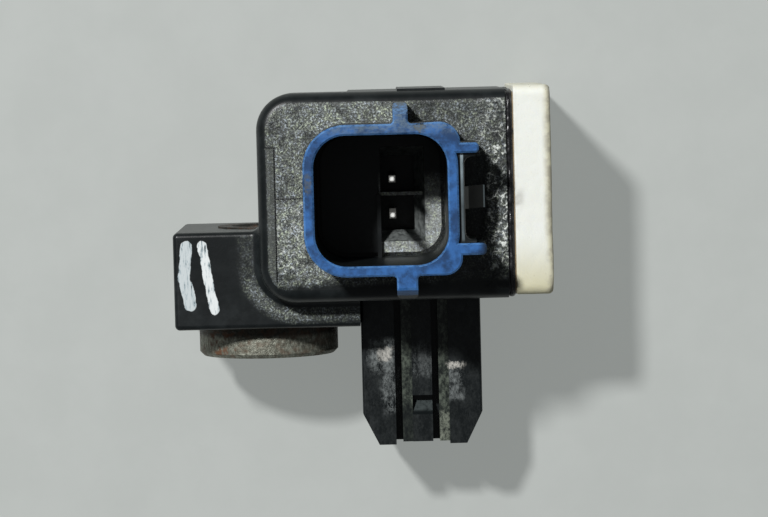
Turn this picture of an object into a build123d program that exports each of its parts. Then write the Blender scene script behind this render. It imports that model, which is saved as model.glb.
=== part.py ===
from build123d import *
import os

os.makedirs("parts", exist_ok=True)

# Driving dimensions in millimetres. The bolt axis is Y, with Y 0 on the face of the bush that
# meets the car. X runs towards the seal pad, and Z runs out of the connector's mouth.

# Steel bush in the ear
bolt_hole = 6.5
sleeve_diameter = 10.0
flange_diameter = 14.4
flange_thickness = 3.3
sleeve_proud = 0.15
bush_chamfer = 0.4

# Moulded ear, a block round the bush that runs on under the box to the peg
ear_reach = 9.15
ear_height = 9.9
ear_front = 10.0
back_depth = 9.0
ear_edge = 0.5
ear_root = 1.0
ear_run_on = 0.85
spanner_radius = 6.7

# Moulded box, whose front left part is a hood over the bolt
hood_overlap = 0.3
hood_depth = 7.5
hood_step = 4.0
box_start = 9.1
box_drop = 2.8
hood_corner = 3.7
front_edge = 1.3
rear_edge = 0.8
top_pad_rise = 0.2
top_pad_start = 14.2
top_pad_length = 4.8
witness_width = 0.16
witness_depth = 0.1
panel_width = 1.75
panel_drop = 5.4
parting_drop = 10.7

# Connector shroud on the front of the box
shroud_width = 15.2
shroud_height = 14.9
shroud_wall = 1.05
shroud_corner = 4.2
shroud_reach = 8.0
shroud_inset = 4.75
shroud_rise = 3.0
shroud_headroom = 3.1
rim_bevel = 0.18

# Keys, guides and lock on the outside of the shroud
top_key_offset = 2.05
top_key_width = 1.45
top_key_height = 2.1
bottom_key_offset = 2.4
bottom_key_width = 2.05
bottom_key_height = 2.3
key_tip = 0.45
key_root = 0.35
key_slope = 1.0
key_slope_depth = 1.6
guide_inset = 2.5
guide_tip = 0.4
high_guide_reach = 2.05
high_guide_thickness = 1.0
high_web_corner = 2.1
high_web_lift = 0.2
low_guide_reach = 2.6
low_guide_thickness = 1.15
low_web_corner = 1.7
low_web_lift = 0.0
web_proud = 0.25
lock_zone_rise = 0.6
lock_zone_drop = 0.6
lock_zone_corner = 0.7
lock_zone_arm = 0.35
lock_zone_round = 0.3
lock_width = 2.2
lock_height = 2.7
lock_top_drop = 1.8
lock_slope = 3.0
lock_land = 0.5

# Inside of the socket
socket_depth = 15.0
pocket_depth = 5.3
pocket_slope_depth = 2.5
pocket_left = 1.2
pocket_right = 2.25
pocket_half_height = 3.8
pocket_slope = 1.05
partition_thickness = 0.35
partition_drop = 0.5
floor_groove = 0.45
floor_groove_depth = 1.0
floor_rib_thickness = 0.4
floor_rib_height = 0.7
heel_wall = 1.1
heel_slope = 0.7

# Terminals, bent from square wire
pin_size = 0.64
pin_pitch = 3.6
pin_offset = 1.15
pin_length = 13.3
pin_point = 0.18
pin_bend = 1.2
tail_proud = 1.1

# Locating peg
peg_width = 12.35
peg_thickness = 8.0
peg_length = 15.6
peg_taper_width = 1.65
peg_taper_length = 3.3
peg_edge = 0.3
plate_width = 3.4
slot_width = 0.7
slot_depth = 2.4
strip_width = 1.05
strip_recess = 0.35
tongue_width = 2.05
tongue_recess = 0.2
middle_shortfall = 0.25
notch_drop = 10.55
notch_depth = 1.3
notch_height = 0.6
notch_ramp = 1.4

# Electronics chamber, open to the pad side and closed by the cover
chamber_wall = 2.3
chamber_corner = 1.2
socket_side_wall = 1.5
wiring_depth = 5.0
wiring_margin = 1.7
floor_thickness = 2.0
relief_depth = 0.8
board_ledge = 0.8
board_thickness = 1.2
board_clearance = 0.12
component_room = 2.55
terminal_drop = 6.0
hole_clearance = 0.05

# Cores that thin the thick back of the box
core_width = 3.2
core_rib = 1.6
core_count = 4
core_length = 3.1
core_wall = 1.6

# Cover, sealant, film and seal pad
cover_thickness = 0.65
cover_inset = 0.25
cover_corner = 1.2
groove_margin = 0.6
groove_width = 1.1
groove_depth = 1.0
tongue_thickness = 0.5
tongue_length = 0.7
port_bore = 2.4
port_outer = 4.6
port_length = 0.9
film_thickness = 0.15
film_inset = 0.1
pad_thickness = 3.75
pad_oversize = 0.1
pad_shift = 0.35
pad_corner = 1.0
pad_edge = 0.3
pad_hole = 8.0

# Parts on the board
cell_side = 5.0
cell_height = 1.0
cell_lid_side = 4.4
cell_lid_height = 0.3
cell_lid_hole = 1.0
chip_width = 3.9
chip_length = 4.9
chip_height = 1.45
chip_standoff = 0.15
chip_gap = 0.9
lead_count = 4
lead_pitch = 1.27
lead_width = 0.42
lead_thickness = 0.2
lead_step = 0.3
lead_reach = 1.0
capacitor_width = 1.25
capacitor_length = 2.0
capacitor_height = 0.9
resistor_width = 0.8
resistor_length = 1.6
resistor_height = 0.45
diode_width = 2.6
diode_length = 4.3
diode_height = 1.9
side_column = 5.75
solder_base = 0.8
solder_top = 0.5
solder_height = 0.7

# Places that follow from the sizes above
back = -back_depth
ear_bottom = flange_thickness
ear_top = ear_bottom + ear_height
front_face = ear_front + hood_step
hood_left = -hood_overlap
box_left = hood_left + box_start
peg_left = box_left + ear_run_on
hood_back = front_face - hood_depth
box_bottom = flange_thickness + box_drop
shroud_left = hood_left + shroud_inset
shroud_right = shroud_left + shroud_width
shroud_x = shroud_left + shroud_width / 2
shroud_bottom = box_bottom + shroud_rise
shroud_top = shroud_bottom + shroud_height
shroud_y = shroud_bottom + shroud_height / 2
guide_spread = shroud_height - 2 * guide_inset
box_top = shroud_top + shroud_headroom
box_height = box_top - box_bottom
box_middle = (box_bottom + box_top) / 2
box_depth = front_face - back
inner_width = shroud_width - 2 * shroud_wall
inner_height = shroud_height - 2 * shroud_wall
inner_corner = shroud_corner - shroud_wall
rim = front_face + shroud_reach
floor = rim - socket_depth
pocket_floor = floor - pocket_depth
pin_x = shroud_x + pin_offset
pin_heights = (shroud_y - pin_pitch / 2, shroud_y + pin_pitch / 2)
relief_back = shroud_x + inner_width / 2 + socket_side_wall
board_back = relief_back + relief_depth
board_top = board_back + board_thickness
box_right = board_top + component_room
chamber_height = box_height - 2 * chamber_wall
chamber_depth = box_depth - 2 * chamber_wall
chamber_low = back + chamber_wall
port_z = (back + front_face) / 2
terminal_z = port_z - terminal_drop
cover_outside = box_right + cover_thickness
peg_bottom = box_bottom - peg_length


# Bush, turned from steel: a thick flange under the ear and a sleeve through it
sleeve_top = ear_top + sleeve_proud
with BuildPart() as mounting_bush:
    with BuildSketch(Plane.XY):
        with BuildLine():
            Polyline(
                (bolt_hole / 2, 0),
                (flange_diameter / 2 - bush_chamfer, 0),
                (flange_diameter / 2, bush_chamfer),
                (flange_diameter / 2, flange_thickness - bush_chamfer / 2),
                (flange_diameter / 2 - bush_chamfer / 2, flange_thickness),
                (sleeve_diameter / 2, flange_thickness),
                (sleeve_diameter / 2, sleeve_top),
                (bolt_hole / 2 + bush_chamfer, sleeve_top),
                (bolt_hole / 2, sleeve_top - bush_chamfer),
                close=True,
            )
        make_face()
    revolve(axis=Axis.Y)
mounting_bush.part.label = "mounting_bush"
export_step(mounting_bush.part, "parts/mounting_bush.step")


# Terminals, each one L of square wire: a pin in the socket and a tail that runs to the board
pin_tip = pocket_floor + pin_length
tail_end = board_top + tail_proud


def bent_wire(height, mode=Mode.ADD):
    """Extrude the L-shaped wire of the terminal at this height."""
    half = pin_size / 2
    with BuildSketch(Plane.XZ.offset(-height - half)) as wire:
        with BuildLine():
            outer = FilletPolyline(
                (pin_x - half, pin_tip),
                (pin_x - half, terminal_z - half),
                (tail_end, terminal_z - half),
                radius=pin_bend,
            )
            inner = FilletPolyline(
                (tail_end, terminal_z + half),
                (pin_x + half, terminal_z + half),
                (pin_x + half, pin_tip),
                radius=pin_bend - pin_size,
            )
            Line(outer @ 1, inner @ 0)
            Line(inner @ 1, outer @ 0)
        make_face()
    extrude(wire.sketch, amount=pin_size, mode=mode)


for number, height in enumerate(pin_heights, start=1):
    with BuildPart() as terminal:
        bent_wire(height)
        chamfer(terminal.faces().sort_by(Axis.Z)[-1].edges(), length=pin_point)
    terminal.part.label = f"terminal_{number}"
    export_step(terminal.part, f"parts/terminal_{number}.step")


def chamber_outline(margin, mode=Mode.ADD):
    """Draw the chamber's mouth, larger by this margin all round."""
    RectangleRounded(
        chamber_height + 2 * margin,
        chamber_depth + 2 * margin,
        chamber_corner + margin,
        mode=mode,
    )


def key_rib(offset, width, height, side):
    """Draw a key rib on the shroud's top (side 1) or bottom (side -1)."""
    reach = shroud_height / 2 + height
    with Locations((shroud_x + offset, shroud_y + side * reach / 2)):
        RectangleRounded(width, reach, key_tip)


def guide_rib(reach, thickness, side):
    """Draw a guide rib at the shroud's right."""
    with Locations((shroud_right - shroud_wall, shroud_y + side * guide_spread / 2)):
        RectangleRounded(
            reach + shroud_wall,
            thickness,
            guide_tip,
            align=(Align.MIN, Align.CENTER),
        )


def corner_web(corner, lift, side):
    """Draw the web that squares the shroud's corner behind a guide rib."""
    end = shroud_y + side * shroud_height / 2
    middle = shroud_y + side * guide_spread / 2
    start = shroud_right - shroud_corner
    outside = shroud_right + web_proud
    with BuildLine() as web:
        FilletPolyline((start, end), (outside, end + side * lift), (outside, middle), radius=corner)
        Polyline((outside, middle), (start, middle), (start, end))
    make_face(web.edges())


# Housing, one moulding of glass-filled plastic: hood, ear, box, connector shroud and peg
with BuildPart() as housing:
    # Hood in front, over the bolt and across the whole front of the box
    with BuildSketch(Plane.XY.offset(hood_back)):
        with Locations((hood_left, box_bottom)):
            Rectangle(box_right - hood_left, box_height, align=(Align.MIN, Align.MIN))
    extrude(amount=hood_depth)
    fillet(housing.edges().filter_by(Axis.Z).group_by(Axis.X)[0], radius=hood_corner)
    front_outline = housing.faces().sort_by(Axis.Z)[-1].edges()
    fillet(front_outline.sort_by(Axis.X)[:-1], radius=front_edge)

    # Ear, a block that carries the bush and runs on as a ledge as far as the peg
    with BuildSketch(Plane.XY.offset(back)):
        with Locations((-ear_reach, ear_bottom)):
            Rectangle(ear_reach + peg_left, ear_height, align=(Align.MIN, Align.MIN))
    extrude(amount=ear_front - back)
    ear_end = housing.edges().group_by(Axis.X)[0]
    level = housing.edges().filter_by(Axis.X).filter_by_position(Axis.Z, ear_front - 0.01, ear_front + 0.01)
    fillet(ear_end + level.group_by(Axis.Y)[0] + level.group_by(Axis.Y)[-1], radius=ear_edge)

    # Box behind the connector, with the shallow pad on its top
    with BuildSketch(Plane.XY.offset(back)):
        with Locations((box_left, box_bottom)):
            Rectangle(box_right - box_left, box_height, align=(Align.MIN, Align.MIN))
    extrude(amount=box_depth - hood_depth / 2)
    with BuildSketch(Plane.XY.offset(back + rear_edge)):
        with Locations((hood_left + top_pad_start, box_top - front_edge)):
            Rectangle(
                top_pad_length,
                front_edge + top_pad_rise,
                align=(Align.MIN, Align.MIN),
            )
    extrude(amount=box_depth - rear_edge - front_edge)

    # Fillet where the hood stands on the ear's front
    on_ear = housing.edges().filter_by_position(Axis.Z, ear_front - 0.01, ear_front + 0.01)
    root = on_ear.filter_by_position(Axis.Y, box_bottom - 0.01, ear_top - ear_edge + 0.01)
    fillet(root, radius=ear_root)

    # Heel under the socket's left side, where its floor reaches past the box over the bolt
    heel_left = shroud_left + shroud_wall - heel_wall
    heel_bottom = floor - floor_groove_depth - heel_wall
    heel_top = front_face - front_edge
    with BuildSketch(Plane.XZ.offset(-shroud_top)):
        Polygon(
            (box_left + rear_edge, heel_top),
            (heel_left, heel_top),
            (heel_left, heel_bottom + heel_slope),
            (heel_left + heel_slope, heel_bottom),
            (box_left + rear_edge, heel_bottom),
            align=None,
        )
    extrude(amount=shroud_height)

    # Locating peg: two plates, and between them a slotted tongue, the same front and back
    middle_width = peg_width - 2 * plate_width
    middle_left = peg_left + plate_width
    middle_right = middle_left + middle_width
    tongue_right = middle_right - strip_width - slot_width
    tongue_left = tongue_right - tongue_width
    face = peg_thickness / 2
    strip_face = face - strip_recess
    tongue_face = face - tongue_recess
    slot_face = face - slot_depth
    with BuildSketch(Plane.XZ.offset(-box_bottom)) as peg_section:
        with BuildLine():
            Polyline(
                (peg_left, 0),
                (peg_left, face),
                (middle_left, face),
                (middle_left, slot_face),
                (middle_left + slot_width, slot_face),
                (middle_left + slot_width, strip_face),
                (tongue_left, strip_face),
                (tongue_left, tongue_face),
                (tongue_right, tongue_face),
                (tongue_right, slot_face),
                (tongue_right + slot_width, slot_face),
                (tongue_right + slot_width, strip_face),
                (middle_right, strip_face),
                (middle_right, face),
                (peg_left + peg_width, face),
                (peg_left + peg_width, 0),
                close=True,
            )
        make_face()
        mirror(about=Plane.XZ)
        fillet(peg_section.vertices().group_by(Axis.X)[0], radius=peg_edge)
        fillet(peg_section.vertices().group_by(Axis.X)[-1], radius=peg_edge)
    extrude(amount=peg_length)

    # The peg's tapered tip, the shorter middle, and the catch notch in the tongue
    with BuildSketch(Plane.XY):
        Polygon(
            (peg_left, peg_bottom),
            (peg_left + peg_taper_width, peg_bottom),
            (peg_left, peg_bottom + peg_taper_length),
            align=None,
        )
        Polygon(
            (peg_left + peg_width, peg_bottom),
            (peg_left + peg_width, peg_bottom + peg_taper_length),
            (peg_left + peg_width - peg_taper_width, peg_bottom),
            align=None,
        )
        with Locations((middle_left, peg_bottom)):
            Rectangle(middle_width, middle_shortfall, align=(Align.MIN, Align.MIN))
    extrude(amount=peg_thickness, both=True, mode=Mode.SUBTRACT)
    notch_top = box_bottom - notch_drop
    with BuildSketch(Plane.YZ.offset(tongue_left)):
        Polygon(
            (notch_top, peg_thickness),
            (notch_top, tongue_face - notch_depth),
            (notch_top - notch_height, tongue_face - notch_depth),
            (notch_top - notch_height - notch_ramp, tongue_face),
            (notch_top - notch_height - notch_ramp, peg_thickness),
            align=None,
        )
    extrude(amount=tongue_width, mode=Mode.SUBTRACT)

    # Connector shroud with its key ribs, guide ribs and squared corners
    with BuildSketch(Plane.XY.offset(front_face - front_edge)) as shroud_outline:
        with Locations((shroud_x, shroud_y)):
            RectangleRounded(shroud_width, shroud_height, shroud_corner)
        key_rib(top_key_offset, top_key_width, top_key_height, 1)
        key_rib(bottom_key_offset, bottom_key_width, bottom_key_height, -1)
        guide_rib(high_guide_reach, high_guide_thickness, 1)
        guide_rib(low_guide_reach, low_guide_thickness, -1)
        corner_web(high_web_corner, high_web_lift, 1)
        corner_web(low_web_corner, low_web_lift, -1)
        for offset, level in ((top_key_offset, shroud_top), (bottom_key_offset, shroud_bottom)):
            ends = shroud_outline.vertices().sort_by_distance((shroud_x + offset, level, 0))
            fillet(ends[:2], radius=key_root)
    extrude(amount=shroud_reach + front_edge)
    with BuildSketch(Plane.YZ.offset(shroud_x)):
        for side, height in ((1, top_key_height), (-1, bottom_key_height)):
            tip = shroud_y + side * (shroud_height / 2 + height)
            Polygon(
                (tip, rim - key_slope_depth),
                (tip, rim),
                (tip - side * key_slope, rim),
                align=None,
            )
    extrude(amount=shroud_width, both=True, mode=Mode.SUBTRACT)

    # Thicker wall between the guide ribs, lower than the rim, and the ramp that the plug locks over
    channel_height = guide_spread - low_guide_thickness - 2 * lock_zone_arm
    channel_left = shroud_right + lock_zone_rise
    zone_top = rim - lock_zone_drop
    with BuildSketch(Plane.XY.offset(front_face - front_edge)):
        with Locations((shroud_right - shroud_wall, shroud_y)):
            Rectangle(
                shroud_wall + high_guide_reach - guide_tip,
                guide_spread,
                align=(Align.MIN, Align.CENTER),
            )
        with Locations((channel_left, shroud_y)):
            RectangleRounded(
                2 * high_guide_reach,
                channel_height,
                lock_zone_corner,
                align=(Align.MIN, Align.CENTER),
                mode=Mode.SUBTRACT,
            )
    extrude(amount=zone_top - front_face + front_edge)
    zone_edges = housing.edges().filter_by_position(Axis.Z, zone_top - 0.01, zone_top + 0.01)
    right_edges = zone_edges.filter_by_position(
        Axis.X, channel_left - 0.01, shroud_right + high_guide_reach
    )
    low, high = shroud_y - channel_height / 2, shroud_y + channel_height / 2
    channel_edges = right_edges.filter_by_position(Axis.Y, low - 0.01, high + 0.01)
    fillet(channel_edges, radius=lock_zone_round)
    lock_top = rim - lock_top_drop
    with BuildSketch(Plane.XZ.offset(-shroud_y - lock_width / 2)):
        Polygon(
            (shroud_right - shroud_wall, lock_top),
            (shroud_right + lock_zone_rise, lock_top),
            (shroud_right + lock_height, lock_top - lock_slope),
            (shroud_right + lock_height, lock_top - lock_slope - lock_land),
            (shroud_right - shroud_wall, lock_top - lock_slope - lock_land),
            align=None,
        )
    extrude(amount=lock_width)

    # Socket, with a groove round its floor and a pocket round the pins
    with BuildSketch(Plane.XY.offset(floor)):
        with Locations((shroud_x, shroud_y)):
            RectangleRounded(inner_width, inner_height, inner_corner)
    extrude(amount=socket_depth, mode=Mode.SUBTRACT)
    with BuildSketch(Plane.XY.offset(floor - floor_groove_depth)):
        with Locations((shroud_x, shroud_y)):
            RectangleRounded(inner_width, inner_height, inner_corner)
            RectangleRounded(
                inner_width - 2 * floor_groove,
                inner_height - 2 * floor_groove,
                inner_corner - floor_groove,
                mode=Mode.SUBTRACT,
            )
    extrude(amount=floor_groove_depth, mode=Mode.SUBTRACT)
    with BuildSketch(Plane.XY.offset(pocket_floor)):
        with Locations((pin_x - pocket_left, shroud_y)):
            Rectangle(
                pocket_left + pocket_right,
                2 * pocket_half_height,
                align=(Align.MIN, Align.CENTER),
            )
    extrude(amount=pocket_depth, mode=Mode.SUBTRACT)
    for level, widening in ((floor - pocket_slope_depth, 0), (floor, pocket_slope)):
        with BuildSketch(Plane.XY.offset(level)):
            with Locations((pin_x - pocket_left, shroud_y)):
                Rectangle(
                    pocket_left + pocket_right + widening,
                    2 * (pocket_half_height + widening),
                    align=(Align.MIN, Align.CENTER),
                )
    loft(mode=Mode.SUBTRACT)
    with BuildSketch(Plane.XY.offset(pocket_floor - floor_thickness / 2)):
        with Locations((pin_x - pocket_left, shroud_y)):
            Rectangle(
                pocket_left + pocket_right + pocket_slope,
                partition_thickness,
                align=(Align.MIN, Align.CENTER),
            )
    extrude(amount=floor_thickness / 2 + pocket_depth - partition_drop)
    with BuildSketch(Plane.XY.offset(floor - floor_groove_depth)):
        with Locations((pin_x - pocket_left, shroud_bottom + shroud_wall)):
            Rectangle(
                floor_rib_thickness,
                inner_height / 2,
                align=(Align.MAX, Align.MIN),
            )
    extrude(amount=floor_groove_depth + floor_rib_height)

    # Small bevel round the rim
    chamfer(housing.faces().sort_by(Axis.Z)[-1].edges(), length=rim_bevel)

    # Electronics chamber from the pad side: board seat, relief behind it, and wiring pocket
    with BuildSketch(Plane.YZ.offset(board_back)):
        with Locations((box_middle, port_z)):
            RectangleRounded(chamber_height, chamber_depth, chamber_corner)
    extrude(amount=box_right - board_back, mode=Mode.SUBTRACT)
    with BuildSketch(Plane.YZ.offset(relief_back)):
        with Locations((box_middle, port_z)):
            RectangleRounded(
                chamber_height - 2 * board_ledge,
                chamber_depth - 2 * board_ledge,
                chamber_corner,
            )
    extrude(amount=relief_depth, mode=Mode.SUBTRACT)
    wiring_low = chamber_low + wiring_margin
    wiring_high = pocket_floor - floor_thickness
    with BuildSketch(Plane.YZ.offset(relief_back - wiring_depth)):
        with Locations((box_middle, (wiring_low + wiring_high) / 2)):
            RectangleRounded(
                chamber_height - 2 * wiring_margin,
                wiring_high - wiring_low,
                chamber_corner,
            )
    extrude(amount=wiring_depth, mode=Mode.SUBTRACT)

    # Groove for the cover's tongue and its sealant
    with BuildSketch(Plane.YZ.offset(box_right - groove_depth)):
        with Locations((box_middle, port_z)):
            chamber_outline(groove_margin + groove_width)
            chamber_outline(groove_margin, Mode.SUBTRACT)
    extrude(amount=groove_depth, mode=Mode.SUBTRACT)

    # Cores in the back, between the ear and the wiring pocket
    core_top = terminal_z - pin_size / 2 - core_wall
    with BuildSketch(Plane.XY.offset(back)):
        with Locations((box_left + core_wall + core_length / 2, box_middle)):
            with GridLocations(0, core_width + core_rib, 1, core_count):
                Rectangle(core_length, core_width)
    extrude(amount=core_top - back, mode=Mode.SUBTRACT)

    # Bore for the bush
    with BuildSketch(Plane.XZ.offset(-ear_bottom)):
        Circle(sleeve_diameter / 2)
    extrude(amount=-ear_height, mode=Mode.SUBTRACT)

    # Lines that the mould's inserts leave on the front
    line_floor = front_face - witness_depth
    with BuildSketch(Plane.XY.offset(line_floor)):
        with Locations((hood_left + panel_width, box_top - panel_drop)):
            Rectangle(
                witness_width,
                box_height - panel_drop - front_edge,
                align=(Align.MIN, Align.MAX),
            )
            Rectangle(panel_width, witness_width, align=(Align.MAX, Align.MAX))
        with Locations((hood_left + panel_width, box_top - parting_drop)):
            Rectangle(
                shroud_inset - panel_width,
                witness_width,
                align=(Align.MIN, Align.MAX),
            )
    extrude(amount=witness_depth, mode=Mode.SUBTRACT)

    # Seats of the two terminals, which are moulded in
    for height in pin_heights:
        bent_wire(height, Mode.SUBTRACT)
housing.part.label = "housing"
export_step(housing.part, "parts/housing.step")


# Circuit board on its ledge, with a hole for each terminal
board_height = chamber_height - 2 * board_clearance
board_depth = chamber_depth - 2 * board_clearance
hole_radius = pin_size / 2 * 2**0.5 + hole_clearance
with BuildPart() as circuit_board:
    with BuildSketch(Plane.YZ.offset(board_back)):
        with Locations((box_middle, port_z)):
            RectangleRounded(board_height, board_depth, chamber_corner - board_clearance)
        with Locations([(height, terminal_z) for height in pin_heights]):
            Circle(hole_radius, mode=Mode.SUBTRACT)
    extrude(amount=board_thickness)
circuit_board.part.label = "circuit_board"
export_step(circuit_board.part, "parts/circuit_board.step")


# Solder, a cone round each tail where it comes through the board
for number, height in enumerate(pin_heights, start=1):
    with BuildPart() as solder_joint:
        with BuildSketch(Plane.YZ.offset(board_top)):
            with Locations((height, terminal_z)):
                Circle(solder_base)
        with BuildSketch(Plane.YZ.offset(board_top + solder_height)):
            with Locations((height, terminal_z)):
                Circle(solder_top)
        loft()
        bent_wire(height, Mode.SUBTRACT)
    solder_joint.part.label = f"solder_joint_{number}"
    export_step(solder_joint.part, f"parts/solder_joint_{number}.step")


# Pressure cell with its metal lid, at the middle of the board and under the cover's port
with BuildPart() as pressure_cell:
    with BuildSketch(Plane.YZ.offset(board_top)):
        with Locations((box_middle, port_z)):
            Rectangle(cell_side, cell_side)
    extrude(amount=cell_height)
pressure_cell.part.label = "pressure_cell"
export_step(pressure_cell.part, "parts/pressure_cell.step")

with BuildPart() as cell_lid:
    with BuildSketch(Plane.YZ.offset(board_top + cell_height)):
        with Locations((box_middle, port_z)):
            Rectangle(cell_lid_side, cell_lid_side)
            Circle(cell_lid_hole / 2, mode=Mode.SUBTRACT)
    extrude(amount=cell_lid_height)
cell_lid.part.label = "cell_lid"
export_step(cell_lid.part, "parts/cell_lid.step")


# Interface chip above the cell, and its gull-wing leads down to the board
chip_z = port_z + cell_side / 2 + chip_gap + chip_length / 2
with BuildPart() as interface_chip:
    with BuildSketch(Plane.YZ.offset(board_top + chip_standoff)):
        with Locations((box_middle, chip_z)):
            Rectangle(chip_width, chip_length)
    extrude(amount=chip_height)
    upper_edges = interface_chip.faces().sort_by(Axis.X)[-1].edges()
    chamfer(upper_edges, length=chip_standoff)
interface_chip.part.label = "interface_chip"
export_step(interface_chip.part, "parts/interface_chip.step")

lead_low = board_top + chip_standoff + chip_height / 3
with BuildPart() as chip_leads:
    for place in range(lead_count):
        lead_z = chip_z + (place - (lead_count - 1) / 2) * lead_pitch
        with BuildSketch(Plane.XY.offset(lead_z - lead_width / 2)):
            for side in (-1, 1):
                root = box_middle + side * chip_width / 2
                bend = root + side * lead_step
                Polygon(
                    (lead_low, root),
                    (lead_low + lead_thickness, root),
                    (lead_low + lead_thickness, bend + side * lead_thickness),
                    (board_top + lead_thickness, bend + side * lead_thickness),
                    (board_top + lead_thickness, root + side * lead_reach),
                    (board_top, root + side * lead_reach),
                    (board_top, bend),
                    (lead_low, bend),
                    align=None,
                )
        extrude(amount=lead_width)
chip_leads.part.label = "chip_leads"
export_step(chip_leads.part, "parts/chip_leads.step")


# Capacitors, resistors and the suppressor diode, in columns each side of the cell
def chip_part(name, side, height, size):
    """Build one block-shaped part on the board, beside the cell, and write it."""
    width, length, thickness = size
    with BuildPart() as block:
        with BuildSketch(Plane.YZ.offset(board_top)) as base:
            with Locations((box_middle + side * side_column, height)):
                Rectangle(width, length)
        extrude(base.sketch, amount=thickness)
    block.part.label = name
    export_step(block.part, f"parts/{name}.step")


capacitor = (capacitor_width, capacitor_length, capacitor_height)
resistor = (resistor_width, resistor_length, resistor_height)
diode = (diode_width, diode_length, diode_height)
chip_part("capacitor_1", -1, chip_z, capacitor)
chip_part("capacitor_2", -1, port_z, capacitor)
chip_part("capacitor_3", 1, chip_z, capacitor)
chip_part("resistor_1", 1, port_z + resistor_length, resistor)
chip_part("resistor_2", 1, port_z - resistor_length, resistor)
chip_part("diode", -1, terminal_z, diode)


# Cover over the chamber: a plate with a tongue for the groove and a port to the pressure cell
with BuildPart() as end_cover:
    with BuildSketch(Plane.YZ.offset(box_right)):
        with Locations((box_middle, port_z)):
            RectangleRounded(
                box_height - 2 * cover_inset,
                box_depth - 2 * cover_inset,
                cover_corner,
            )
    extrude(amount=cover_thickness)
    tongue_margin = groove_margin + (groove_width - tongue_thickness) / 2
    with BuildSketch(Plane.YZ.offset(box_right - tongue_length)) as tongue:
        with Locations((box_middle, port_z)):
            chamber_outline(tongue_margin + tongue_thickness)
            chamber_outline(tongue_margin, Mode.SUBTRACT)
    extrude(amount=tongue_length)
    with BuildSketch(Plane.YZ.offset(box_right - port_length)):
        with Locations((box_middle, port_z)):
            Circle(port_outer / 2)
    extrude(amount=port_length)
    with BuildSketch(Plane.YZ.offset(box_right - port_length)):
        with Locations((box_middle, port_z)):
            Circle(port_bore / 2)
    extrude(amount=port_length + cover_thickness, mode=Mode.SUBTRACT)
end_cover.part.label = "end_cover"
export_step(end_cover.part, "parts/end_cover.step")


# Sealant that fills the groove round the cover's tongue
with BuildPart() as cover_seal:
    with BuildSketch(Plane.YZ.offset(box_right - groove_depth)):
        with Locations((box_middle, port_z)):
            chamber_outline(groove_margin + groove_width)
            chamber_outline(groove_margin, Mode.SUBTRACT)
    extrude(amount=groove_depth)
    extrude(tongue.sketch, amount=tongue_length, mode=Mode.SUBTRACT)
cover_seal.part.label = "cover_seal"
export_step(cover_seal.part, "parts/cover_seal.step")


# Film that holds the pad to the cover
pad_middle = box_middle + pad_shift - pad_oversize / 2
with BuildPart() as pad_adhesive:
    with BuildSketch(Plane.YZ.offset(cover_outside)):
        with Locations((box_middle, port_z)):
            RectangleRounded(
                box_height - 2 * (cover_inset + film_inset),
                box_depth - 2 * (cover_inset + film_inset),
                cover_corner - film_inset,
            )
            Circle(pad_hole / 2, mode=Mode.SUBTRACT)
    extrude(amount=film_thickness)
pad_adhesive.part.label = "pad_adhesive"
export_step(pad_adhesive.part, "parts/pad_adhesive.step")


# Soft seal pad, a slab of white foam rubber with a hole that lets air through to the port
with BuildPart() as seal_pad:
    with BuildSketch(Plane.YZ.offset(cover_outside + film_thickness)):
        with Locations((pad_middle, port_z)):
            RectangleRounded(box_height + pad_oversize, box_depth - 2 * pad_oversize, pad_corner)
    extrude(amount=pad_thickness)
    chamfer(seal_pad.faces().sort_by(Axis.X)[-1].edges(), length=pad_edge)
    with BuildSketch(Plane.YZ.offset(cover_outside + film_thickness)):
        with Locations((box_middle, port_z)):
            Circle(pad_hole / 2)
    extrude(amount=pad_thickness, mode=Mode.SUBTRACT)
seal_pad.part.label = "seal_pad"
export_step(seal_pad.part, "parts/seal_pad.step")
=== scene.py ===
import bpy
import math
from mathutils import Matrix, Vector, noise


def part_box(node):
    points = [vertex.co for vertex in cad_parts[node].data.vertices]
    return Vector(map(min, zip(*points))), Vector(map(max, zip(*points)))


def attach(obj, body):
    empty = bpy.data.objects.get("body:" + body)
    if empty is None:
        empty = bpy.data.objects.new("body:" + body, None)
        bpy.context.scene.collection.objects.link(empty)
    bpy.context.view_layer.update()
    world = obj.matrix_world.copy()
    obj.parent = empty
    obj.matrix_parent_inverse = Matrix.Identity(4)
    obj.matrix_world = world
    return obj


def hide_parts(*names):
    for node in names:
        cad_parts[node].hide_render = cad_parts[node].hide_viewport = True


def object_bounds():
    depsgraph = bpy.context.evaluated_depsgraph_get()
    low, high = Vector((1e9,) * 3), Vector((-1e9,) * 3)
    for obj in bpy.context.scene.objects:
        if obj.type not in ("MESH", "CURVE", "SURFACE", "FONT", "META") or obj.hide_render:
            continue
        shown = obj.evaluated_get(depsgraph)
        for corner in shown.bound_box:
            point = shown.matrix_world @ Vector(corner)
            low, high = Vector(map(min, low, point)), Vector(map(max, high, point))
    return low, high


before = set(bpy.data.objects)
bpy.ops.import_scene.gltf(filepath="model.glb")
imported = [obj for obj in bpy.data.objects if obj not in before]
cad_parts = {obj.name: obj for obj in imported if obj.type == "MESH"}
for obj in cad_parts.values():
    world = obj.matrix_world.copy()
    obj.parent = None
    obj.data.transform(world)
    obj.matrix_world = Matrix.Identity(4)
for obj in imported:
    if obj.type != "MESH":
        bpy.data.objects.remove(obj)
cad_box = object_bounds()

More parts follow.
